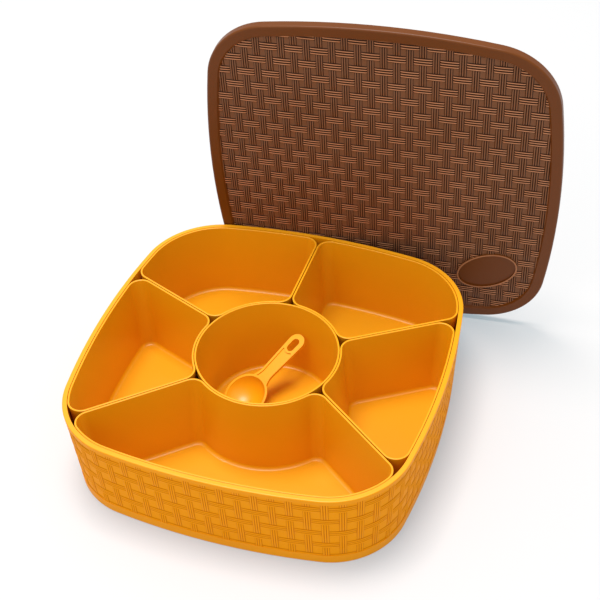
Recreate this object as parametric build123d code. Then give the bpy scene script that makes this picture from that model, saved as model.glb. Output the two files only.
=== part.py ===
from build123d import *
import math
import os

# A square snack tray with bulging sides, six lift-out cups, a measuring spoon and a lift-off lid.
# Millimetres and degrees. The origin is the middle of the tray's foot, on the ground. X runs to
# the right and Y to the back, where the lid stands on its edge against the tray's rim.
# The tray's wall and the lid's panel are sunk by the room that their woven relief takes.

# Tray outline, at the rim
tray_half = 140.0
side_radius = 546.0
corner_radius = 63.5

# Tray heights and walls
tray_height = 74.3
draft = 3.55
rim_width = 3.7
rim_band = 4.0
foot_band = 9.2
panel_recess = 1.3
foot_recess = 4.6
floor_wall = 2.4
rim_round = 0.8
foot_round = 1.0
well_round = 3.0

# Cups
cup_wall = 1.5
cup_floor = 1.8
cup_clearance = 0.4
neighbour_gap = 0.6
corner_round = 11.0
cup_foot_round = 4.5
cup_edge_round = 0.4

# Round cup in the middle, and its gap to the wedge cups around it
centre_y = -4.6
centre_rim_radius = 55.9
centre_gap = 0.3

# Dividers between the wedge cups: direction from the round cup's axis, and sideways offset
back_angle = 90.0
back_offset = 1.2
right_back_angle = 31.6
right_back_offset = -4.1
left_back_angle = 157.1
left_back_offset = -0.9
left_front_angle = 220.7
left_front_offset = 2.4
right_front_angle = 322.2
right_front_offset = 9.3

# Measuring spoon
bowl_radius = 18.2
bowl_depth = 11.5
spoon_wall = 1.2
spoon_reach = 65.8
handle_width = 14.4
handle_waist = 12.0
handle_root = 18.0
handle_flare = 10.0
handle_thickness = 2.4
handle_border = 1.9
handle_sink = 1.0
handle_slot_width = 6.6
handle_slot_length = 12.2
handle_slot_edge = 4.4
handle_slot_bar = 2.0
handle_sink_horn = 1.5
bowl_bead = 0.5
bowl_bead_height = 0.8
gate_radius = 0.9
gate_height = 0.3

# How the spoon lies in the round cup
spoon_heading = 57.3
spoon_slope = 24.8
spoon_aside = 16.8
rest_gap = 0.3

# Lid, whose own outline is a little squarer than the tray's
lid_side_radius = 655.0
lid_corner_radius = 55.0
lid_clearance = 0.4
skirt_wall = 1.6
lid_height = 7.0
lid_panel_sink = 2.1
lid_plate = 1.8
border_width = 10.0
border_slope = 1.6
lid_edge_round = 1.6
badge_length = 53.4
badge_width = 34.6
badge_tilt = 29.4
badge_aside = 89.2
badge_below = 83.5
badge_edge = 1.3
badge_edge_height = 1.7
badge_plate_height = 0.6

# How the lid stands behind the tray; its gap there is the room of the panel's woven relief
lid_lean = 3.5
lid_turn = 3.75
lid_aside = 50.0
lid_rest_gap = 0.9

# Working lengths
slope = math.tan(math.radians(draft))
floor_top = foot_recess + floor_wall
wedge_arc_radius = centre_rim_radius + centre_gap
lid_half = tray_half + lid_clearance + skirt_wall
beyond = 3 * tray_half


def fall(z):
    """How far a drafted wall has moved inward at height z, from where it is at the rim."""
    return (tray_height - z) * slope


def square_face(half, side, corner):
    """Face with bulging sides: four side arcs of one radius and four corner arcs of another."""
    sag = side - half
    middle = (math.sqrt(2 * (side - corner) ** 2 - sag**2) - sag) / 2
    swing = math.degrees(math.atan2(middle, middle + sag))
    edges = []
    for quarter in range(4):
        turn = Rot(0, 0, 90 * quarter)
        edges.append(turn * CenterArc((0, -sag), side, 90 - swing, 2 * swing))
        edges.append(turn * CenterArc((-middle, middle), corner, 90 + swing, 90 - 2 * swing))
    return make_face(edges)


def outline(inset):
    """Face of the tray's outline, drawn in by inset."""
    return square_face(tray_half - inset, side_radius - inset, corner_radius - inset)


def lid_outline(inset):
    """Face of the lid's outline, drawn in by inset."""
    return square_face(lid_half - inset, lid_side_radius - inset, lid_corner_radius - inset)


def tier(low, high, inset):
    """Drafted block between two heights, whose outline is drawn in by inset."""
    bottom = Pos(0, 0, low) * outline(inset + fall(low))
    top = Pos(0, 0, high) * outline(inset + fall(high))
    return loft([bottom, top], ruled=True)


def level(shape, z):
    """Edges of a shape that lie flat at height z."""
    return shape.edges().filter_by_position(Axis.Z, z - 0.01, z + 0.01)


def base_tray():
    """Outer tray: rim band, recessed wall, foot band, floor and hollow foot."""
    shoulder = tray_height - rim_band
    body = tier(0, foot_band, 0)
    body += tier(foot_band, shoulder, panel_recess)
    body += tier(shoulder, tray_height, 0)
    body = fillet(level(body, tray_height), rim_round)
    body = fillet(level(body, 0), foot_round)
    well = fillet(level(tier(floor_top, tray_height, rim_width), floor_top), well_round)
    body -= well
    body -= tier(0, foot_recess, rim_width)
    return body


def divider_side(divider, side, inset):
    """Half space on one side of a divider, whose drafted face stands off by half a gap."""
    angle, offset = divider
    block = Box(2 * beyond, beyond, beyond, align=(Align.CENTER, Align.MIN, Align.CENTER))
    leaning = Rot(draft, 0, 0) * block
    if side < 0:
        leaning = Rot(0, 0, 180) * leaning
    stand_off = Pos(0, offset + side * (neighbour_gap / 2 + inset), 0)
    return Pos(0, centre_y, tray_height) * Rot(0, 0, angle) * stand_off * leaning


def wedge_block(first, second, inset, low):
    """Drafted wedge from height low to the rim, between two dividers."""
    block = tier(low, tray_height, rim_width + cup_clearance + inset)
    block &= divider_side(first, 1, inset)
    block &= divider_side(second, -1, inset)
    top_radius = wedge_arc_radius + inset
    post = Cone(top_radius + fall(low), top_radius, tray_height - low,
                align=(Align.CENTER, Align.CENTER, Align.MIN))
    block -= Pos(0, centre_y, low) * post
    upright = block.edges().filter_by(lambda edge: abs(edge.tangent_at(0.5).Z) > 0.9)
    sharp = [edge for edge in upright if is_corner(edge, first, second, inset)]
    return fillet(sharp, corner_round - inset)


def is_corner(edge, first, second, inset):
    """Whether an upright edge lies on one of the two divider faces."""
    end = max(edge.vertices(), key=lambda vertex: vertex.Z)
    for angle, offset in (first, second):
        turn = math.radians(angle)
        across = -math.sin(turn) * end.X + math.cos(turn) * (end.Y - centre_y) - offset
        if abs(abs(across) - neighbour_gap / 2 - inset) < 0.01:
            return True
    return False


def wedge_cup(first, second):
    """Open wedge cup between two dividers, with a thin rounded rim."""
    body = wedge_block(first, second, 0, floor_top)
    body = fillet(level(body, floor_top), cup_foot_round)
    inside_floor = floor_top + cup_floor
    hollow = wedge_block(first, second, cup_wall, inside_floor)
    hollow = fillet(level(hollow, inside_floor), cup_foot_round - cup_wall)
    body -= hollow
    return fillet(level(body, tray_height), cup_edge_round)


def centre_cup():
    """Round cup, turned about its own axis."""
    foot = centre_rim_radius - fall(floor_top)
    inside_floor = floor_top + cup_floor
    inner_top = centre_rim_radius - cup_wall
    inner_foot = inner_top - fall(inside_floor)
    corners = [
        (0, floor_top),
        (foot, floor_top),
        (centre_rim_radius, tray_height),
        (inner_top, tray_height),
        (inner_foot, inside_floor),
        (0, inside_floor),
    ]
    section = make_face(Plane.XZ * Polyline(*corners, close=True))
    for (x, z), radius in (
        (corners[1], cup_foot_round),
        (corners[4], cup_foot_round - cup_wall),
        (corners[2], cup_edge_round),
        (corners[3], cup_edge_round),
    ):
        corner = section.vertices().sort_by_distance((x, 0, z))[0]
        section = fillet(corner, radius)
    return Pos(0, centre_y, 0) * revolve(section, Axis.Z)


def spoon_flat():
    """Measuring spoon with its rim level at z 0, the bowl's middle at the origin, handle along X."""
    globe = (bowl_radius**2 + bowl_depth**2) / (2 * bowl_depth)
    lift = globe - bowl_depth
    inner = globe - spoon_wall
    cut = Pos(0, 0, globe) * Box(4 * globe, 4 * globe, 2 * globe)
    bowl = Pos(0, 0, lift) * Sphere(globe) - cut
    bead = Cylinder(bowl_radius + bowl_bead, bowl_bead_height, align=(Align.CENTER, Align.CENTER, Align.MAX))
    tip = spoon_reach - handle_width / 2
    root = bowl_radius - 2 * spoon_wall
    side = Line((tip, handle_width / 2), (root + handle_flare, handle_waist / 2))
    flare = TangentArc(side @ 1, (root, handle_root / 2), tangent=side % 1)
    end = CenterArc((tip, 0), handle_width / 2, -90, 180)
    back = Line((root, handle_root / 2), (root, -handle_root / 2))
    edges = [side, flare, mirror(side, Plane.XZ), mirror(flare, Plane.XZ), end, back]
    plan = make_face(edges)
    handle = extrude(plan, handle_thickness, dir=(0, 0, -1))
    slot_middle = spoon_reach - handle_slot_edge - handle_slot_length / 2
    slot_start = slot_middle - handle_slot_length / 2
    sunk_end = slot_start - handle_slot_bar + handle_sink_horn
    sunk = offset(plan, -handle_border) & Pos(sunk_end / 2, 0) * Rectangle(sunk_end, beyond)
    slot_curl = handle_slot_width / 2
    sunk -= Pos(slot_start + slot_curl, 0) * Circle(slot_curl + handle_slot_bar)
    handle -= extrude(sunk, handle_sink, dir=(0, 0, -1))
    slot = Pos(slot_middle, 0) * SlotOverall(handle_slot_length, handle_slot_width)
    handle -= extrude(slot, handle_thickness, both=True)
    body = bowl + bead + handle
    body -= Pos(0, 0, lift) * Sphere(inner)
    gate = Cylinder(gate_radius, spoon_wall / 2 + gate_height, align=(Align.CENTER, Align.CENTER, Align.MIN))
    return body + Pos(0, 0, lift - inner - spoon_wall / 2) * gate


def spoon():
    """The spoon in the round cup: bowl on the floor, the end of its handle against the wall."""
    globe = (bowl_radius**2 + bowl_depth**2) / (2 * bowl_depth)
    tilt = math.radians(spoon_slope)
    inside_floor = floor_top + cup_floor
    rim_z = inside_floor + rest_gap + globe - (globe - bowl_depth) * math.cos(tilt)
    end = spoon_reach - handle_width / 2
    low_z = rim_z + end * math.sin(tilt) - handle_thickness * math.cos(tilt)
    wall = centre_rim_radius - cup_wall - fall(low_z) - rest_gap - handle_width / 2
    along = math.sqrt(wall**2 - spoon_aside**2) - handle_thickness * math.sin(tilt)
    start = along - end * math.cos(tilt)
    place = Pos(0, centre_y, rim_z) * Rot(0, 0, spoon_heading) * Pos(start, spoon_aside, 0)
    return place * Rot(0, -spoon_slope, 0) * spoon_flat()


def lid_flat():
    """Lid lying with its outer face up and the edge of its skirt at z 0."""
    body = extrude(lid_outline(0), lid_height)
    body = fillet(level(body, lid_height), lid_edge_round)
    panel_z = lid_height - lid_panel_sink
    panel = loft(
        [
            Pos(0, 0, panel_z) * lid_outline(border_width),
            Pos(0, 0, lid_height) * lid_outline(border_width - border_slope),
        ],
        ruled=True,
    )
    body -= panel
    body -= extrude(lid_outline(skirt_wall), panel_z - lid_plate)
    place = Pos(badge_aside, -badge_below, panel_z) * Rot(0, 0, badge_tilt)
    badge = extrude(Ellipse(badge_length / 2, badge_width / 2), badge_edge_height)
    middle = Ellipse(badge_length / 2 - badge_edge, badge_width / 2 - badge_edge)
    badge -= Pos(0, 0, badge_plate_height) * extrude(middle, badge_edge_height)
    return body + place * badge


def lid():
    """Lid on its edge behind the tray, its outer face leaning on the back of the rim."""
    lean = math.radians(lid_lean)
    turn = math.radians(lid_turn)
    upright = Rot(0, 0, lid_turn) * Rot(90 + lid_lean, 0, 0) * Pos(0, 0, -lid_height) * lid_flat()
    middle_z = -upright.bounding_box().min.Z
    facing = (math.sin(turn) * math.cos(lean), -math.cos(turn) * math.cos(lean), -math.sin(lean))
    tray_reach = side_radius - (side_radius - tray_half) * math.cos(turn)
    rim_contact = -math.cos(lean) * tray_reach - math.sin(lean) * tray_height
    contact = rim_contact - lid_rest_gap + lid_panel_sink
    middle_y = (contact - facing[0] * lid_aside - facing[2] * middle_z) / facing[1]
    return Pos(lid_aside, middle_y, middle_z) * upright


back = (back_angle, back_offset)
right_back = (right_back_angle, right_back_offset)
left_back = (left_back_angle, left_back_offset)
left_front = (left_front_angle, left_front_offset)
right_front = (right_front_angle, right_front_offset)
pieces = {
    "base_tray": base_tray(),
    "back_left_cup": wedge_cup(back, left_back),
    "back_right_cup": wedge_cup(right_back, back),
    "right_cup": wedge_cup(right_front, right_back),
    "front_cup": wedge_cup(left_front, right_front),
    "left_cup": wedge_cup(left_back, left_front),
    "centre_cup": centre_cup(),
    "spoon": spoon(),
    "lid": lid(),
}

os.makedirs("parts", exist_ok=True)
for name, shape in pieces.items():
    shape.label = name
    export_step(shape, f"parts/{name}.step")
    box = shape.bounding_box()
    print(name, "volume", round(shape.volume), "from", box.min, "to", box.max)
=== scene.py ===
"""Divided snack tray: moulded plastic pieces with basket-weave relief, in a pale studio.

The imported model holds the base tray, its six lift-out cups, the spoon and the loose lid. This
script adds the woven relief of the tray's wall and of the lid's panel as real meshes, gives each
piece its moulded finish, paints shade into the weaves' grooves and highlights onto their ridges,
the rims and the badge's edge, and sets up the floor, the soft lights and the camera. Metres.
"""

import logging
import math
from dataclasses import dataclass
from enum import Enum

import bpy
import numpy as np
from mathutils import Matrix, Vector


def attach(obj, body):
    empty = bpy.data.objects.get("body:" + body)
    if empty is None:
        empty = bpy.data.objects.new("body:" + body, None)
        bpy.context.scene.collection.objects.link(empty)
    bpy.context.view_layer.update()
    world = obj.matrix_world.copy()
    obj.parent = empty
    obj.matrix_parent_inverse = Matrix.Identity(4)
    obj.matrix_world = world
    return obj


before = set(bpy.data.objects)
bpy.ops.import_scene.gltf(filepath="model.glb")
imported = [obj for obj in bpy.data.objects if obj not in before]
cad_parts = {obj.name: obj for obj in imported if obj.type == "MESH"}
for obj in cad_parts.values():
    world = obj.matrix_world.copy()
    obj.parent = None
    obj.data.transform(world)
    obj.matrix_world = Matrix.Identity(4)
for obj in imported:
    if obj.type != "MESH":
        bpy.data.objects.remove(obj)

LOG = logging.getLogger("snack_tray")
MM = 0.001
Colour = tuple[float, float, float]


class Slot(Enum):
    """Material slot names for the tray and the lid; nothing in this script uses them."""

    TRAY = "amber_tray"
    LID = "brown_lid"


# Shader groups


class ShaderGroup:
    """A shader node group that is built once and placed in every material that uses it."""

    name = "group"
    inputs: tuple[tuple[str, str, object], ...] = ()
    outputs: tuple[tuple[str, str], ...] = ()

    def tree(self) -> bpy.types.NodeTree:
        """Finds the group or builds it.

        Returns:
            The node tree of the group.
        """
        found = bpy.data.node_groups.get(self.name)
        if found:
            return found
        made = bpy.data.node_groups.new(self.name, "ShaderNodeTree")
        for name, kind, default in self.inputs:
            socket = made.interface.new_socket(name, in_out="INPUT", socket_type=kind)
            if default is not None:
                socket.default_value = default
        for name, kind in self.outputs:
            made.interface.new_socket(name, in_out="OUTPUT", socket_type=kind)
        entry = made.nodes.new("NodeGroupInput")
        leave = made.nodes.new("NodeGroupOutput")
        self.wire(made, entry, leave)
        return made

    def wire(
        self, tree: bpy.types.NodeTree, entry: bpy.types.Node, leave: bpy.types.Node
    ) -> None:
        """Fills the group.

        Args:
            tree: The group's node tree.
            entry: The group's input node.
            leave: The group's output node.
        """
        raise NotImplementedError

    def place(self, tree: bpy.types.NodeTree, values: dict[str, object]) -> bpy.types.Node:
        """Puts the group in a material.

        Args:
            tree: The material's node tree.
            values: Values of the group's inputs, by name.

        Returns:
            The group node.
        """
        node = tree.nodes.new("ShaderNodeGroup")
        node.node_tree = self.tree()
        for name, value in values.items():
            node.inputs[name].default_value = value
        return node


class ToneDrift(ShaderGroup):
    """Slow change of colour through a moulding, where the melt was a little thicker or thinner."""

    name = "tone_drift"
    inputs = (
        ("Vector", "NodeSocketVector", None),
        ("Colour", "NodeSocketColor", (0.8, 0.4, 0.1, 1)),
        ("Deep", "NodeSocketColor", (0.7, 0.3, 0.1, 1)),
        ("Scale", "NodeSocketFloat", 12.0),
    )
    outputs = (("Colour", "NodeSocketColor"),)
    detail = 2.0
    span = (0.35, 0.65)

    def wire(
        self, tree: bpy.types.NodeTree, entry: bpy.types.Node, leave: bpy.types.Node
    ) -> None:
        """Mixes the two colours by a soft noise.

        Args:
            tree: The group's node tree.
            entry: The group's input node.
            leave: The group's output node.
        """
        noise = tree.nodes.new("ShaderNodeTexNoise")
        noise.inputs["Detail"].default_value = self.detail
        spread = tree.nodes.new("ShaderNodeMapRange")
        spread.inputs["From Min"].default_value = self.span[0]
        spread.inputs["From Max"].default_value = self.span[1]
        mix = tree.nodes.new("ShaderNodeMix")
        mix.data_type = "RGBA"
        tree.links.new(entry.outputs["Vector"], noise.inputs["Vector"])
        tree.links.new(entry.outputs["Scale"], noise.inputs["Scale"])
        tree.links.new(noise.outputs["Fac"], spread.inputs["Value"])
        tree.links.new(spread.outputs["Result"], mix.inputs["Factor"])
        tree.links.new(entry.outputs["Colour"], mix.inputs["A"])
        tree.links.new(entry.outputs["Deep"], mix.inputs["B"])
        tree.links.new(mix.outputs["Result"], leave.inputs["Colour"])


class MouldedSkin(ShaderGroup):
    """Fine skin of a moulding: slight waves from cooling and a faint grain from the tool."""

    name = "moulded_skin"
    inputs = (
        ("Vector", "NodeSocketVector", None),
        ("Wave Scale", "NodeSocketFloat", 60.0),
        ("Grain Scale", "NodeSocketFloat", 1500.0),
        ("Grain Share", "NodeSocketFloat", 0.3),
        ("Gloss", "NodeSocketFloat", 0.3),
        ("Gloss Change", "NodeSocketFloat", 0.1),
    )
    outputs = (("Height", "NodeSocketFloat"), ("Roughness", "NodeSocketFloat"))
    wave_detail = 1.0
    grain_detail = 3.0

    def wire(
        self, tree: bpy.types.NodeTree, entry: bpy.types.Node, leave: bpy.types.Node
    ) -> None:
        """Adds waves and grain into a height, and lets the waves change the roughness.

        Args:
            tree: The group's node tree.
            entry: The group's input node.
            leave: The group's output node.
        """
        waves = tree.nodes.new("ShaderNodeTexNoise")
        waves.inputs["Detail"].default_value = self.wave_detail
        grain = tree.nodes.new("ShaderNodeTexNoise")
        grain.inputs["Detail"].default_value = self.grain_detail
        share = tree.nodes.new("ShaderNodeMath")
        share.operation = "MULTIPLY_ADD"
        rough = tree.nodes.new("ShaderNodeMath")
        rough.operation = "MULTIPLY_ADD"
        tree.links.new(entry.outputs["Vector"], waves.inputs["Vector"])
        tree.links.new(entry.outputs["Vector"], grain.inputs["Vector"])
        tree.links.new(entry.outputs["Wave Scale"], waves.inputs["Scale"])
        tree.links.new(entry.outputs["Grain Scale"], grain.inputs["Scale"])
        tree.links.new(grain.outputs["Fac"], share.inputs[0])
        tree.links.new(entry.outputs["Grain Share"], share.inputs[1])
        tree.links.new(waves.outputs["Fac"], share.inputs[2])
        tree.links.new(grain.outputs["Fac"], rough.inputs[0])
        tree.links.new(entry.outputs["Gloss Change"], rough.inputs[1])
        tree.links.new(entry.outputs["Gloss"], rough.inputs[2])
        tree.links.new(share.outputs["Value"], leave.inputs["Height"])
        tree.links.new(rough.outputs["Value"], leave.inputs["Roughness"])


class GrooveShadeRidgeHighlight(ShaderGroup):
    """Painted shade in the grooves between moulded strands, and a painted highlight on their
    ridges.
    """

    name = "painted_groove_shade_ridge_highlight"
    inputs = (
        ("Colour", "NodeSocketColor", (0.8, 0.4, 0.1, 1)),
        ("Painted Groove Shade Colour", "NodeSocketColor", (0.3, 0.1, 0.01, 1)),
        ("Ridge", "NodeSocketFloat", 1.0),
        ("Sharpness", "NodeSocketFloat", 1.0),
    )
    outputs = (("Colour", "NodeSocketColor"),)

    def wire(
        self, tree: bpy.types.NodeTree, entry: bpy.types.Node, leave: bpy.types.Node
    ) -> None:
        """Mixes the painted groove shade colour into the ridge's colour, from painted shade to
        painted highlight.

        Args:
            tree: The group's node tree.
            entry: The group's input node.
            leave: The group's output node.
        """
        peak = tree.nodes.new("ShaderNodeMath")
        peak.operation = "POWER"
        mix = tree.nodes.new("ShaderNodeMix")
        mix.data_type = "RGBA"
        tree.links.new(entry.outputs["Ridge"], peak.inputs[0])
        tree.links.new(entry.outputs["Sharpness"], peak.inputs[1])
        tree.links.new(peak.outputs["Value"], mix.inputs["Factor"])
        tree.links.new(entry.outputs["Painted Groove Shade Colour"], mix.inputs["A"])
        tree.links.new(entry.outputs["Colour"], mix.inputs["B"])
        tree.links.new(mix.outputs["Result"], leave.inputs["Colour"])


# Finishes

# Mesh attribute of nearness to a strand's ridge; it sets the painted groove shade and ridge
# highlight.
PAINTED_LIGHT_ATTRIBUTE = "ridge"
CRISP_ANGLE = math.radians(52)


@dataclass(frozen=True)
class MouldedPlastic:
    """Opaque moulded plastic with a slow drift of tone and a fine skin, and, given a groove
    colour, painted shade in grooves and a painted highlight on ridges.
    """

    name: str
    colour: Colour
    deep: Colour
    roughness: float = 0.32
    roughness_change: float = 0.08
    specular: float = 0.5
    drift_scale: float = 14.0
    wave_scale: float = 55.0
    grain_scale: float = 1400.0
    grain_share: float = 0.25
    relief: float = 0.0002
    relief_strength: float = 0.6
    # With a groove colour, the piece gets painted shade in its grooves and a painted highlight on
    # its ridges, narrowed by the sharpness.
    groove: Colour | None = None
    ridge_highlight_sharpness: float = 1.0

    def build(self) -> bpy.types.Material:
        """Builds the material.

        Returns:
            The material, ready to be put in a slot.
        """
        material = bpy.data.materials.new(self.name)
        material.use_nodes = True
        tree = material.node_tree
        shader = tree.nodes["Principled BSDF"]
        place = tree.nodes.new("ShaderNodeTexCoord")
        tone = ToneDrift().place(
            tree,
            {"Colour": (*self.colour, 1), "Deep": (*self.deep, 1), "Scale": self.drift_scale},
        )
        skin = MouldedSkin().place(
            tree,
            {
                "Wave Scale": self.wave_scale,
                "Grain Scale": self.grain_scale,
                "Grain Share": self.grain_share,
                "Gloss": self.roughness,
                "Gloss Change": self.roughness_change,
            },
        )
        bump = tree.nodes.new("ShaderNodeBump")
        bump.inputs["Distance"].default_value = self.relief
        bump.inputs["Strength"].default_value = self.relief_strength
        tree.links.new(place.outputs["Object"], tone.inputs["Vector"])
        tree.links.new(place.outputs["Object"], skin.inputs["Vector"])
        colour = tone.outputs["Colour"]
        # Painted groove shade and ridge highlight over the drifting tone.
        if self.groove is not None:
            colour = self.paint_groove_shade(tree, colour)
        tree.links.new(colour, shader.inputs["Base Color"])
        tree.links.new(skin.outputs["Roughness"], shader.inputs["Roughness"])
        tree.links.new(skin.outputs["Height"], bump.inputs["Height"])
        tree.links.new(bump.outputs["Normal"], shader.inputs["Normal"])
        shader.inputs["Specular IOR Level"].default_value = self.specular
        return material

    def paint_groove_shade(
        self, tree: bpy.types.NodeTree, colour: bpy.types.NodeSocket
    ) -> bpy.types.NodeSocket:
        """Puts painted shade in the grooves and a painted highlight on the ridges over a colour.

        Args:
            tree: The material's node tree.
            colour: The plain colour.

        Returns:
            The colour with painted shade and highlight.
        """
        ridge = tree.nodes.new("ShaderNodeAttribute")
        ridge.attribute_name = PAINTED_LIGHT_ATTRIBUTE
        tone = GrooveShadeRidgeHighlight().place(
            tree,
            {"Painted Groove Shade Colour": (*self.groove, 1), "Sharpness": self.ridge_highlight_sharpness},
        )
        tree.links.new(colour, tone.inputs["Colour"])
        tree.links.new(ridge.outputs["Fac"], tone.inputs["Ridge"])
        return tone.outputs["Colour"]


AMBER_WALL = MouldedPlastic(
    "amber_wall", (0.91, 0.335, 0.001), (0.89, 0.32, 0.001), roughness=0.4, specular=0.08
)
# The paler colour shows as a painted highlight on the strands' ridges, the groove colour as
# painted shade between them.
AMBER_WEAVE_PAINTED_LIGHT = MouldedPlastic(
    "amber_weave_painted_light",
    (0.96, 0.36, 0.001),
    (0.94, 0.345, 0.001),
    roughness=0.45,
    specular=0.05,
    groove=(0.55, 0.145, 0.0005),
)
# Paler copy of the amber for rim tops: a painted highlight.
AMBER_RIM_HIGHLIGHT = MouldedPlastic(
    "amber_rim_painted_highlight", (0.93, 0.385, 0.010), (0.91, 0.37, 0.008), roughness=0.3, specular=0.4
)
AMBER_CUP = MouldedPlastic(
    "amber_cup", (0.81, 0.352, 0.002), (0.79, 0.342, 0.002), roughness=0.31, specular=0.5
)
AMBER_SPOON = MouldedPlastic(
    "amber_spoon", (0.88, 0.385, 0.003), (0.86, 0.375, 0.002), roughness=0.33, specular=0.55
)
BROWN_BORDER = MouldedPlastic(
    "brown_border", (0.150, 0.039, 0.002), (0.140, 0.036, 0.002), roughness=0.34, specular=0.25
)
# Much paler copy of the brown for the top of the badge's raised edge: a painted highlight.
BROWN_BADGE_EDGE_HIGHLIGHT = MouldedPlastic(
    "brown_badge_edge_painted_highlight", (0.42, 0.17, 0.07), (0.38, 0.15, 0.06), roughness=0.34, specular=0.25
)
# The pale colour is a painted highlight on the strands' ridges; the near-black groove colour is
# painted shade between them.
BROWN_WEAVE_PAINTED_LIGHT = MouldedPlastic(
    "brown_weave_painted_light",
    (1.0, 0.45, 0.22),
    (0.90, 0.39, 0.18),
    roughness=0.4,
    specular=0.12,
    groove=(0.030, 0.0070, 0.0008),
    ridge_highlight_sharpness=8.0,
)


# Mesh helpers


def grid_object(
    name: str, points: np.ndarray, ridge: np.ndarray, keep: np.ndarray, loop: bool
) -> bpy.types.Object:
    """Makes a quad grid, shaded smooth with crisp steps.

    Args:
        name: Name of the object.
        points: Corner positions in metres, indexed by column, row and axis.
        ridge: How near each corner is to a strand's ridge, from 0 to 1, which sets the painted
            groove shade and ridge highlight.
        keep: Which corners belong to the piece, indexed by column and row.
        loop: Whether the last column joins the first.

    Returns:
        The linked object.
    """
    columns, rows = points.shape[:2]
    number = np.arange(columns * rows).reshape(columns, rows)
    after = np.roll(number, -1, axis=0) if loop else number[1:]
    first = number if loop else number[:-1]
    quads = np.stack([first[:, :-1], after[:, :-1], after[:, 1:], first[:, 1:]], axis=-1)
    quads = quads.reshape(-1, 4)
    quads = quads[keep.reshape(-1)[quads].any(axis=1)]
    used, quads = np.unique(quads, return_inverse=True)
    mesh = bpy.data.meshes.new(name)
    mesh.from_pydata(points.reshape(-1, 3)[used], [], quads.reshape(-1, 4))
    mesh.shade_smooth()
    mesh.set_sharp_from_angle(angle=CRISP_ANGLE)
    # Stores nearness to a ridge, which drives the painted shade and highlight.
    attribute = mesh.attributes.new(PAINTED_LIGHT_ATTRIBUTE, "FLOAT", "POINT")
    attribute.data.foreach_set("value", ridge.reshape(-1)[used].astype(np.float32))
    made = bpy.data.objects.new(name, mesh)
    bpy.context.scene.collection.objects.link(made)
    return made


def dress(piece: bpy.types.Object, material: bpy.types.Material) -> None:
    """Gives a whole piece one material.

    Args:
        piece: The object.
        material: Its finish.
    """
    piece.data.materials.clear()
    piece.data.materials.append(material)
    for face in piece.data.polygons:
        face.material_index = 0


def paint_rim_highlight(piece: bpy.types.Object, material: bpy.types.Material, above: float) -> None:
    """Gives the faces over a height a paler second material, a painted highlight.

    Args:
        piece: The object, already dressed.
        material: The paler finish of its rim, which paints the highlight.
        above: The height in metres.
    """
    piece.data.materials.append(material)
    place = piece.matrix_world
    high = [(place @ vertex.co).z > above for vertex in piece.data.vertices]
    for face in piece.data.polygons:
        if all(high[index] for index in face.vertices):
            face.material_index = 1


def cad(node: str) -> bpy.types.Object:
    """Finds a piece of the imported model.

    Args:
        node: Its name.

    Returns:
        Its object.
    """
    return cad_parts[node]


# Basket weave


@dataclass(frozen=True)
class RibbonFamily:
    """Parallel ribbons of a basket weave, each moulded as a few strands side by side."""

    pitch: float
    width: float
    strands: int
    middle: float
    foot: float = 0.12 * MM
    shoulder: float = 0.7 * MM
    groove: float = 0.22
    flank: float = 0.3
    flank_height: float = 0.78

    def lines(self, first: int, last: int) -> tuple[np.ndarray, np.ndarray, np.ndarray]:
        """Grid lines across the family, where its cross-section changes.

        Args:
            first: Number of the first ribbon.
            last: Number of the last ribbon.

        Returns:
            Positions, heights of the cross-section from 0 to 1 (below 0 beside a ribbon), and
            the ribbons' numbers.
        """
        half = self.width / 2
        strand = self.width / self.strands
        ridges = [-half + (index + 0.5) * strand for index in range(self.strands)]
        offsets = [(-half - self.shoulder, -1.0), (-half - self.foot, -1.0), (-half, self.groove)]
        for ridge in ridges:
            offsets += [(ridge - self.flank * strand, self.flank_height), (ridge, 1.0)]
            offsets += [(ridge + self.flank * strand, self.flank_height)]
            offsets += [(ridge + strand / 2, self.groove)]
        offsets += [(half + self.foot, -1.0), (half + self.shoulder, -1.0)]
        numbers = np.arange(first, last + 1)
        across = np.array([place for place, _ in offsets])
        height = np.array([value for _, value in offsets])
        places = self.middle + self.pitch * numbers[:, None] + across[None, :]
        heights = np.broadcast_to(height, places.shape)
        owners = np.broadcast_to(numbers[:, None], places.shape)
        return places.ravel(), heights.ravel().copy(), owners.ravel().copy()


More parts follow.
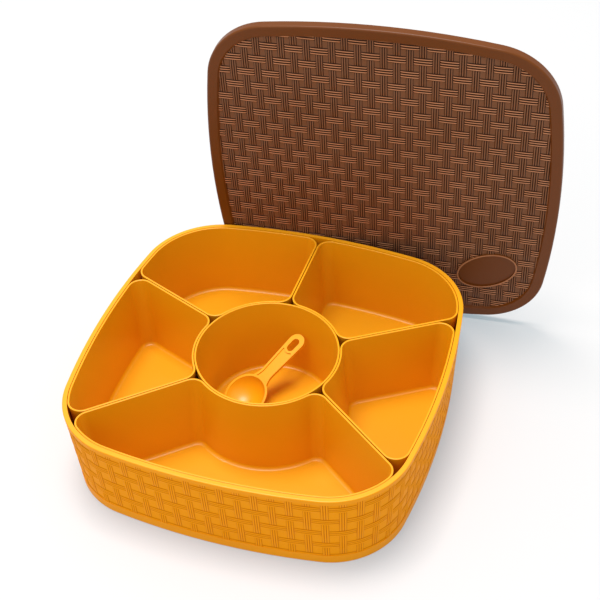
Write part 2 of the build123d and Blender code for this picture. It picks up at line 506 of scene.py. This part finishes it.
@dataclass(frozen=True)
class BasketWeave:
    """Plain weave of two ribbon families, as a height over a flat or a bent sheet.

    The tones, painted shade to painted highlight, run from 0 in a groove to 1 on a course's ridge.
    An evening power under 1 evens out the painted tone across the uprights' strands.
    """

    uprights: RibbonFamily
    courses: RibbonFamily
    ground: float = 0.15 * MM
    height: float = 0.85 * MM
    # Painted shade level of the flat ground, and a weaker, evened painted highlight on the
    # uprights.
    ground_shade_tone: float = 0.62
    upright_highlight_share: float = 1.0
    upright_highlight_even: float = 1.0
    sag: float = 0.38
    tuck: float = 0.55
    buried: float = 0.05
    shoulder_reach: float = 0.99
    foot_reach: float = 1.5
    under_reach: float = 0.5

    def arch(self, away: np.ndarray, mine: RibbonFamily, other: RibbonFamily) -> np.ndarray:
        """Height of a ribbon along its length, between the two ribbons that it dips under.

        Args:
            away: Distance from the crossing where it lies on top.
            mine: The ribbon's family.
            other: The family that it crosses.

        Returns:
            Share of the full height, 0 where the ribbon is hidden.
        """
        reach = other.pitch - other.width / 2
        share = away / reach
        body = 1 - self.sag * share**2
        at_shoulder = away > reach - other.shoulder * self.shoulder_reach
        at_foot = away > reach - other.foot * self.foot_reach
        in_sight = away < reach - other.foot * self.under_reach
        tucked = np.where(at_shoulder, body * self.tuck, body)
        tucked = np.where(at_foot, self.buried, tucked)
        return np.where(in_sight, tucked, 0.0)

    def heights(
        self,
        columns: tuple[np.ndarray, np.ndarray, np.ndarray],
        rows: tuple[np.ndarray, np.ndarray, np.ndarray],
    ) -> tuple[np.ndarray, np.ndarray]:
        """Relief over every grid corner.

        Args:
            columns: Grid lines of the uprights, from RibbonFamily.lines.
            rows: Grid lines of the courses, from RibbonFamily.lines.

        Returns:
            Heights in metres over the plain surface and nearness to a ridge from 0 to 1, which
            sets the painted shade and highlight, both indexed by column and row.
        """
        u_place, u_height, u_owner = (part[:, None] for part in columns)
        v_place, v_height, v_owner = (part[None, :] for part in rows)
        on_top = (u_owner + v_owner) % 2 == 0
        u_off = np.abs(u_place - self.uprights.middle - self.uprights.pitch * u_owner)
        v_off = np.abs(v_place - self.courses.middle - self.courses.pitch * v_owner)
        along_course = np.where(on_top, u_off, self.uprights.pitch - u_off)
        along_upright = np.where(on_top, self.courses.pitch - v_off, v_off)
        course_arch = self.arch(along_course, self.courses, self.uprights)
        upright_arch = self.arch(along_upright, self.uprights, self.courses)
        course = course_arch * np.maximum(v_height, 0)
        upright = upright_arch * np.maximum(u_height, 0)
        top = np.maximum(course, upright)
        section = np.where(course > upright, v_height, u_height)
        # Painted tone from nearness to a ridge: shade in grooves, highlight on ridges, weaker on
        # uprights.
        groove = self.courses.groove
        ridge = np.clip((section - groove) / (1 - groove), 0, 1)
        ridge = np.where(course > upright, ridge, self.upright_highlight_share * ridge**self.upright_highlight_even)
        # Painted shade where a ribbon dips under the one that crosses it.
        ridge *= np.clip(np.maximum(course_arch, upright_arch) / self.tuck, 0, 1)
        relief = self.ground + top * (self.height - self.ground)
        # The flat ground between ribbons takes a fixed level of painted shade.
        return relief, np.where(top > 0, ridge, self.ground_shade_tone)


@dataclass(frozen=True)
class SquareOutline:
    """Square with bulging sides and round corners: four side arcs and four corner arcs."""

    half: float = 140 * MM
    side_radius: float = 546 * MM
    corner_radius: float = 63.5 * MM

    def arcs(self) -> list[tuple[np.ndarray, float, float, float]]:
        """Arcs of the outline, counterclockwise from the right end of the back side.

        Returns:
            Centre, radius, first angle and swept angle of each arc.
        """
        sag = self.side_radius - self.half
        middle = (math.sqrt(2 * (self.side_radius - self.corner_radius) ** 2 - sag**2) - sag) / 2
        swing = math.atan2(middle, middle + sag)
        quarter = math.pi / 2
        found = []
        for turn in range(4):
            angle = quarter * turn
            across, up = math.cos(angle), math.sin(angle)
            spin = np.array([[across, -up], [up, across]])
            begin, end = angle + quarter - swing, angle + quarter + swing
            found += [(spin @ [0, -sag], self.side_radius, begin, 2 * swing)]
            found += [(spin @ [-middle, middle], self.corner_radius, end, quarter - 2 * swing)]
        return found

    def length(self, inset: float) -> float:
        """Length of the outline.

        Args:
            inset: How far it is drawn in.

        Returns:
            The length in metres.
        """
        return sum((radius - inset) * sweep for _, radius, _, sweep in self.arcs())

    def walk(self, places: np.ndarray, inset: float) -> tuple[np.ndarray, np.ndarray, np.ndarray]:
        """Follows the outline from the middle of its front side, to the right.

        Args:
            places: Distances along the outline, measured at the inset.
            inset: How far the measured outline is drawn in.

        Returns:
            Arc centres, radii and outward directions at each place.
        """
        arcs = self.arcs()
        arcs = arcs[4:] + arcs[:4]
        ends = np.cumsum([(radius - inset) * sweep for _, radius, _, sweep in arcs])
        start = (arcs[0][1] - inset) * arcs[0][3] / 2
        total = ends[-1]
        along = np.mod(places + start, total)
        number = np.searchsorted(ends, along, side="right")
        begins = np.concatenate([[0], ends[:-1]])
        centres = np.array([arc[0] for arc in arcs])[number]
        radii = np.array([arc[1] for arc in arcs])[number]
        firsts = np.array([arc[2] for arc in arcs])[number]
        angles = firsts + (along - begins[number]) / (radii - inset)
        return centres, radii, np.stack([np.cos(angles), np.sin(angles)], axis=-1)

    def covers(self, x: np.ndarray, y: np.ndarray, inset: float) -> np.ndarray:
        """Tells which points lie inside the outline.

        Args:
            x: Their positions to the right.
            y: Their positions to the back.
            inset: How far the outline is drawn in.

        Returns:
            True for each point inside.
        """
        inside = np.ones(x.shape, bool)
        for number, (centre, radius, first, sweep) in enumerate(self.arcs()):
            away = np.hypot(x - centre[0], y - centre[1])
            if number % 2 == 0:
                inside &= away < radius - inset
                continue
            heading = np.mod(np.arctan2(y - centre[1], x - centre[0]) - first, 2 * math.pi)
            inside &= (heading > sweep) | (away < radius - inset)
        return inside


# Sub-assemblies


@dataclass
class BaseTray:
    """Outer tray with a woven relief between its rim band and its foot band."""

    outline: SquareOutline = SquareOutline()
    height: float = 74.3 * MM
    draft: float = math.radians(3.55)
    foot_band: float = 9.2 * MM
    rim_band: float = 4.0 * MM
    # Depth of the top band that takes the painted rim highlight.
    rim_highlight_depth: float = 0.3 * MM
    recess: float = 1.3 * MM
    lap: float = 0.3 * MM
    weave_ground: float = 0.45 * MM
    weave_height: float = 1.15 * MM
    # Painted shade level of the flat ground between ribbons.
    ground_shade_tone: float = 0.85
    upright_pitch: float = 12.4 * MM
    upright_width: float = 5.2 * MM
    upright_strands: int = 3
    upright_phase: float = 35.5 * MM
    courses: RibbonFamily = RibbonFamily(14.0 * MM, 5.9 * MM, 3, 21.5 * MM)
    course_numbers: tuple[int, int] = (-1, 4)

    def weave(self) -> BasketWeave:
        """Basket weave whose uprights close round the outline.

        Returns:
            The weave.
        """
        around = self.outline.length(self.inset(self.height / 2))
        pairs = round(around / (2 * self.upright_pitch))
        uprights = RibbonFamily(
            around / (2 * pairs), self.upright_width, self.upright_strands, self.upright_phase
        )
        return BasketWeave(
            uprights,
            self.courses,
            ground=self.weave_ground,
            height=self.weave_height,
            ground_shade_tone=self.ground_shade_tone,
        )

    def inset(self, z: float | np.ndarray) -> float | np.ndarray:
        """How far the plain recessed wall is drawn in.

        Args:
            z: Height over the ground.

        Returns:
            The inset from the rim's outline.
        """
        return (self.height - z) * math.tan(self.draft) + self.recess

    def relief(self) -> bpy.types.Object:
        """Builds the woven relief round the wall.

        Returns:
            The relief, still without a finish.
        """
        weave = self.weave()
        middle = float(self.inset(self.height / 2))
        count = round(self.outline.length(middle) / weave.uprights.pitch)
        columns = weave.uprights.lines(0, count - 1)
        rows = weave.courses.lines(*self.course_numbers)
        low, high = self.foot_band - self.lap, self.height - self.rim_band + self.lap
        inside = np.flatnonzero((rows[0] > low) & (rows[0] < high))
        rows = tuple(part[inside[0] - 1 : inside[-1] + 2] for part in rows)
        rows = (np.clip(rows[0], low, high), *rows[1:])
        heights, ridge = weave.heights(columns, rows)
        centres, radii, outward = self.outline.walk(columns[0], middle)
        reach = radii[:, None] - self.inset(rows[0])[None, :] + heights
        points = np.empty(heights.shape + (3,))
        points[..., :2] = centres[:, None, :] + outward[:, None, :] * reach[..., None]
        points[..., 2] = rows[0][None, :]
        keep = np.ones(heights.shape, bool)
        return grid_object("tray_wall_weave", points, ridge, keep, loop=True)

    def build(
        self, wall: MouldedPlastic, woven: MouldedPlastic, rim: bpy.types.Material
    ) -> None:
        """Adds the relief and dresses the tray.

        Args:
            wall: Plastic of the smooth parts.
            woven: Plastic of the woven wall, with painted groove shade and ridge highlight.
            rim: Paler amber for the rim's top faces, a painted highlight.
        """
        dress(cad("base_tray"), wall.build())
        # The rim's top faces take the painted highlight.
        paint_rim_highlight(cad("base_tray"), rim, self.height - self.rim_highlight_depth)
        weave = self.relief()
        dress(weave, woven.build())
        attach(weave, "tray")


@dataclass
class CupSet:
    """The five wedge cups and the round cup."""

    nodes: tuple[str, ...] = (
        "back_left_cup",
        "back_right_cup",
        "right_cup",
        "front_cup",
        "left_cup",
        "centre_cup",
    )
    # Cup faces above this height take the painted rim highlight.
    rim_height: float = 73.8 * MM

    def build(self, finish: MouldedPlastic, rim: bpy.types.Material) -> None:
        """Dresses the cups.

        Args:
            finish: The cups' plastic.
            rim: Paler amber for their rims' top faces, a painted highlight.
        """
        material = finish.build()
        for node in self.nodes:
            dress(cad(node), material)
            paint_rim_highlight(cad(node), rim, self.rim_height)


@dataclass
class Spoon:
    """Small measuring spoon in the round cup."""

    def build(self, finish: MouldedPlastic) -> None:
        """Dresses the spoon.

        Args:
            finish: The spoon's plastic.
        """
        dress(cad("spoon"), finish.build())


@dataclass
class Lid:
    """Loose lid that stands on its edge behind the tray, with a woven panel."""

    outline: SquareOutline = SquareOutline(142 * MM, 655 * MM, 55 * MM)
    tray: SquareOutline = SquareOutline()
    height: float = 7.0 * MM
    edge_round: float = 1.6 * MM
    panel_sink: float = 2.1 * MM
    border: float = 10.0 * MM
    border_lap: float = 0.8 * MM
    lean: float = math.radians(3.5)
    turn: float = math.radians(3.75)
    aside: float = 50.0 * MM
    rest_gap: float = 0.9 * MM
    rim_height: float = 74.3 * MM
    badge_centre: tuple[float, float] = (89.2 * MM, -83.5 * MM)
    badge_size: tuple[float, float] = (53.4 * MM, 34.6 * MM)
    badge_tilt: float = math.radians(29.4)
    badge_edge: float = 0.975
    badge_edge_height: float = 1.7 * MM
    # The top band of the badge's raised edge, within the reach, takes a painted highlight.
    badge_highlight_depth: float = 0.2 * MM
    badge_highlight_reach: float = 1.02
    uprights: RibbonFamily = RibbonFamily(9.8 * MM, 5.5 * MM, 3, 52.0 * MM)
    upright_numbers: tuple[int, int] = (-20, 8)
    courses: RibbonFamily = RibbonFamily(12.55 * MM, 6.5 * MM, 3, 42.65 * MM)
    course_numbers: tuple[int, int] = (-15, 8)
    # Painted shade level of the flat ground, and a weaker, evened painted highlight on the
    # uprights.
    ground_shade_tone: float = 0.81
    upright_highlight_share: float = 0.86
    upright_highlight_even: float = 0.35

    def place(self) -> Matrix:
        """Where the lid stands.

        Returns:
            The way from the lid lying face up, skirt on the ground, to its place.
        """
        outer = self.outline.half - self.edge_round
        sunk = self.edge_round * math.sin(self.lean)
        middle_z = outer * math.cos(self.lean) - sunk + self.edge_round
        side = self.tray.side_radius
        facing = Vector(
            (
                math.sin(self.turn) * math.cos(self.lean),
                -math.cos(self.turn) * math.cos(self.lean),
                -math.sin(self.lean),
            )
        )
        tray_reach = side - (side - self.tray.half) * math.cos(self.turn)
        rim = -math.cos(self.lean) * tray_reach - math.sin(self.lean) * self.rim_height
        contact = rim - self.rest_gap + self.panel_sink
        middle_y = (contact - facing.x * self.aside - facing.z * middle_z) / facing.y
        upright = Matrix.Rotation(math.pi / 2 + self.lean, 4, "X")
        stand = Matrix.Rotation(self.turn, 4, "Z") @ upright
        return (
            Matrix.Translation((self.aside, middle_y, middle_z))
            @ stand
            @ Matrix.Translation((0, 0, -self.height))
        )

    def panel(self) -> bpy.types.Object:
        """Builds the woven relief of the panel.

        Returns:
            The relief in its place, still without a finish.
        """
        weave = BasketWeave(
            self.uprights,
            self.courses,
            ground_shade_tone=self.ground_shade_tone,
            upright_highlight_share=self.upright_highlight_share,
            upright_highlight_even=self.upright_highlight_even,
        )
        columns = self.uprights.lines(*self.upright_numbers)
        rows = self.courses.lines(*self.course_numbers)
        heights, ridge = weave.heights(columns, rows)
        x, y = np.meshgrid(columns[0], rows[0], indexing="ij")
        keep = self.outline.covers(x, y, self.border - self.border_lap)
        badge = self.from_badge(x, y)
        keep &= badge > self.badge_edge
        push = np.maximum(self.badge_edge / np.maximum(badge, 0.01), 1)
        x = self.badge_centre[0] + (x - self.badge_centre[0]) * push
        y = self.badge_centre[1] + (y - self.badge_centre[1]) * push
        flat = np.stack([x, y, self.height - self.panel_sink + heights], axis=-1)
        place = np.array(self.place())
        points = flat @ place[:3, :3].T + place[:3, 3]
        return grid_object("lid_panel_weave", points, ridge, keep, loop=False)

    def from_badge(self, x: np.ndarray, y: np.ndarray) -> np.ndarray:
        """How far points lie from the badge's middle, as a share of the way to its edge.

        Args:
            x: Their positions along the lid.
            y: Their positions up the lid.

        Returns:
            The shares, 1 on the badge's outline.
        """
        tilt = np.array([math.cos(self.badge_tilt), math.sin(self.badge_tilt)])
        away = np.stack([x - self.badge_centre[0], y - self.badge_centre[1]], axis=-1)
        along, across = away @ tilt, away @ np.array([-tilt[1], tilt[0]])
        return np.hypot(along / (self.badge_size[0] / 2), across / (self.badge_size[1] / 2))

    def paint_badge_edge_highlight(self, material: bpy.types.Material) -> None:
        """Gives the top of the badge's raised edge a paler second material, a painted highlight.

        Args:
            material: The paler finish that paints the highlight.
        """
        lid = cad("lid")
        flat = np.array(self.place().inverted() @ lid.matrix_world)
        points = np.array([vertex.co for vertex in lid.data.vertices])
        points = points @ flat[:3, :3].T + flat[:3, 3]
        top = self.height - self.panel_sink + self.badge_edge_height
        high = points[:, 2] > top - self.badge_highlight_depth
        edge = high & (self.from_badge(points[:, 0], points[:, 1]) < self.badge_highlight_reach)
        lid.data.materials.append(material)
        for face in lid.data.polygons:
            if all(edge[index] for index in face.vertices):
                face.material_index = 1

    def build(
        self, border: MouldedPlastic, woven: MouldedPlastic, badge: MouldedPlastic
    ) -> None:
        """Adds the woven panel and dresses the lid.

        Args:
            border: Plastic of the smooth parts.
            woven: Plastic of the woven panel, with painted groove shade and ridge highlight.
            badge: Paler plastic for the top of the badge's raised edge, a painted highlight.
        """
        dress(cad("lid"), border.build())
        self.paint_badge_edge_highlight(badge.build())
        weave = self.panel()
        dress(weave, woven.build())
        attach(weave, "lid_body")


# Studio


@dataclass(frozen=True)
class SoftBox:
    """Square lamp that gives soft light."""

    name: str
    place: tuple[float, float, float]
    size: float
    power: float

    def hang(self, aim: Vector) -> None:
        """Hangs the lamp.

        Args:
            aim: What it faces.
        """
        light = bpy.data.lights.new(self.name, "AREA")
        light.shape = "SQUARE"
        light.size = self.size
        light.energy = self.power
        made = bpy.data.objects.new(self.name, light)
        place = Vector(self.place)
        turn = (aim - place).to_track_quat("-Z", "Y").to_matrix().to_4x4()
        made.matrix_world = Matrix.Translation(place) @ turn
        bpy.context.scene.collection.objects.link(made)


@dataclass
class Studio:
    """Pale floor, soft lights and the camera."""

    floor_half: float = 4.0
    floor_colour: Colour = (0.56, 0.48, 0.44)
    floor_glow: Colour = (0.17, 0.29, 0.35)
    floor_roughness: float = 0.9
    floor_specular: float = 0.1
    sky: Colour = (1.0, 1.0, 1.0)
    sky_strength: float = 0.7
    boxes: tuple[SoftBox, ...] = (
        SoftBox("key", (-0.32, 0.12, 2.85), 1.2, 72.0),
        SoftBox("front", (-0.6, -1.5, 1.5), 0.6, 3.0),
    )
    aim: tuple[float, float, float] = (0.02, 0.03, 0.05)
    focal_share: float = 1329.73 / 600 * 0.97
    azimuth: float = math.radians(20.13)
    elevation: float = math.radians(42.01)
    roll: float = math.radians(-2.93)
    offset: tuple[float, float, float] = (-0.02113, -0.0914, 1.0419)
    sensor_width: float = 36.0
    clip_start: float = 0.05

    def floor(self) -> None:
        """Lays the pale floor."""
        half = self.floor_half
        mesh = bpy.data.meshes.new("floor")
        corners = [(-half, -half, 0), (half, -half, 0), (half, half, 0), (-half, half, 0)]
        mesh.from_pydata(corners, [], [(0, 1, 2, 3)])
        floor = bpy.data.objects.new("floor", mesh)
        bpy.context.scene.collection.objects.link(floor)
        material = bpy.data.materials.new("floor_paper")
        material.use_nodes = True
        shader = material.node_tree.nodes["Principled BSDF"]
        shader.inputs["Base Color"].default_value = (*self.floor_colour, 1)
        shader.inputs["Roughness"].default_value = self.floor_roughness
        shader.inputs["Emission Color"].default_value = (*self.floor_glow, 1)
        shader.inputs["Emission Strength"].default_value = 1.0
        shader.inputs["Specular IOR Level"].default_value = self.floor_specular
        mesh.materials.append(material)

    def surround(self) -> None:
        """Fills the studio with even light."""
        world = bpy.data.worlds.new("studio")
        world.use_nodes = True
        back = world.node_tree.nodes["Background"]
        back.inputs["Color"].default_value = (*self.sky, 1)
        back.inputs["Strength"].default_value = self.sky_strength
        bpy.context.scene.world = world

    def lights(self) -> None:
        """Hangs the soft boxes: a large one overhead and a weak one in front."""
        for box in self.boxes:
            box.hang(Vector(self.aim))

    def camera(self) -> None:
        """Sets the camera at the photograph's angle."""
        azimuth, elevation, roll = self.azimuth, self.elevation, self.roll
        back = Vector(
            (
                math.sin(azimuth) * math.cos(elevation),
                -math.cos(azimuth) * math.cos(elevation),
                math.sin(elevation),
            )
        )
        level = Vector((math.cos(azimuth), math.sin(azimuth), 0))
        upright = back.cross(level)
        right = level * math.cos(roll) + upright * math.sin(roll)
        up = upright * math.cos(roll) - level * math.sin(roll)
        turn = Matrix((right, up, back)).transposed()
        away = Vector((self.offset[0], self.offset[1], -self.offset[2]))
        data = bpy.data.cameras.new("photograph")
        data.sensor_width = self.sensor_width
        data.sensor_fit = "HORIZONTAL"
        data.lens = self.focal_share * data.sensor_width
        data.clip_start = self.clip_start
        made = bpy.data.objects.new("photograph", data)
        made.matrix_world = Matrix.Translation(-(turn @ away)) @ turn.to_4x4()
        bpy.context.scene.collection.objects.link(made)
        bpy.context.scene.camera = made

    def build(self) -> None:
        """Sets up the whole studio."""
        self.floor()
        self.surround()
        self.lights()
        self.camera()
        bpy.context.scene.view_settings.view_transform = "Standard"


def main() -> None:
    """Builds every sub-assembly in order and reports each."""
    logging.basicConfig(level=logging.INFO, format="%(name)s: %(message)s")
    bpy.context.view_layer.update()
    # Paler amber for the rims' top faces of tray and cups: a painted highlight.
    rim = AMBER_RIM_HIGHLIGHT.build()
    BaseTray().build(AMBER_WALL, AMBER_WEAVE_PAINTED_LIGHT, rim)
    LOG.info("base tray dressed, with its woven wall")
    CupSet().build(AMBER_CUP, rim)
    LOG.info("cups dressed")
    Spoon().build(AMBER_SPOON)
    LOG.info("spoon dressed")
    Lid().build(BROWN_BORDER, BROWN_WEAVE_PAINTED_LIGHT, BROWN_BADGE_EDGE_HIGHLIGHT)
    LOG.info("lid dressed, with its woven panel")
    Studio().build()
    LOG.info("studio ready")


if __name__ == "__main__":
    main()
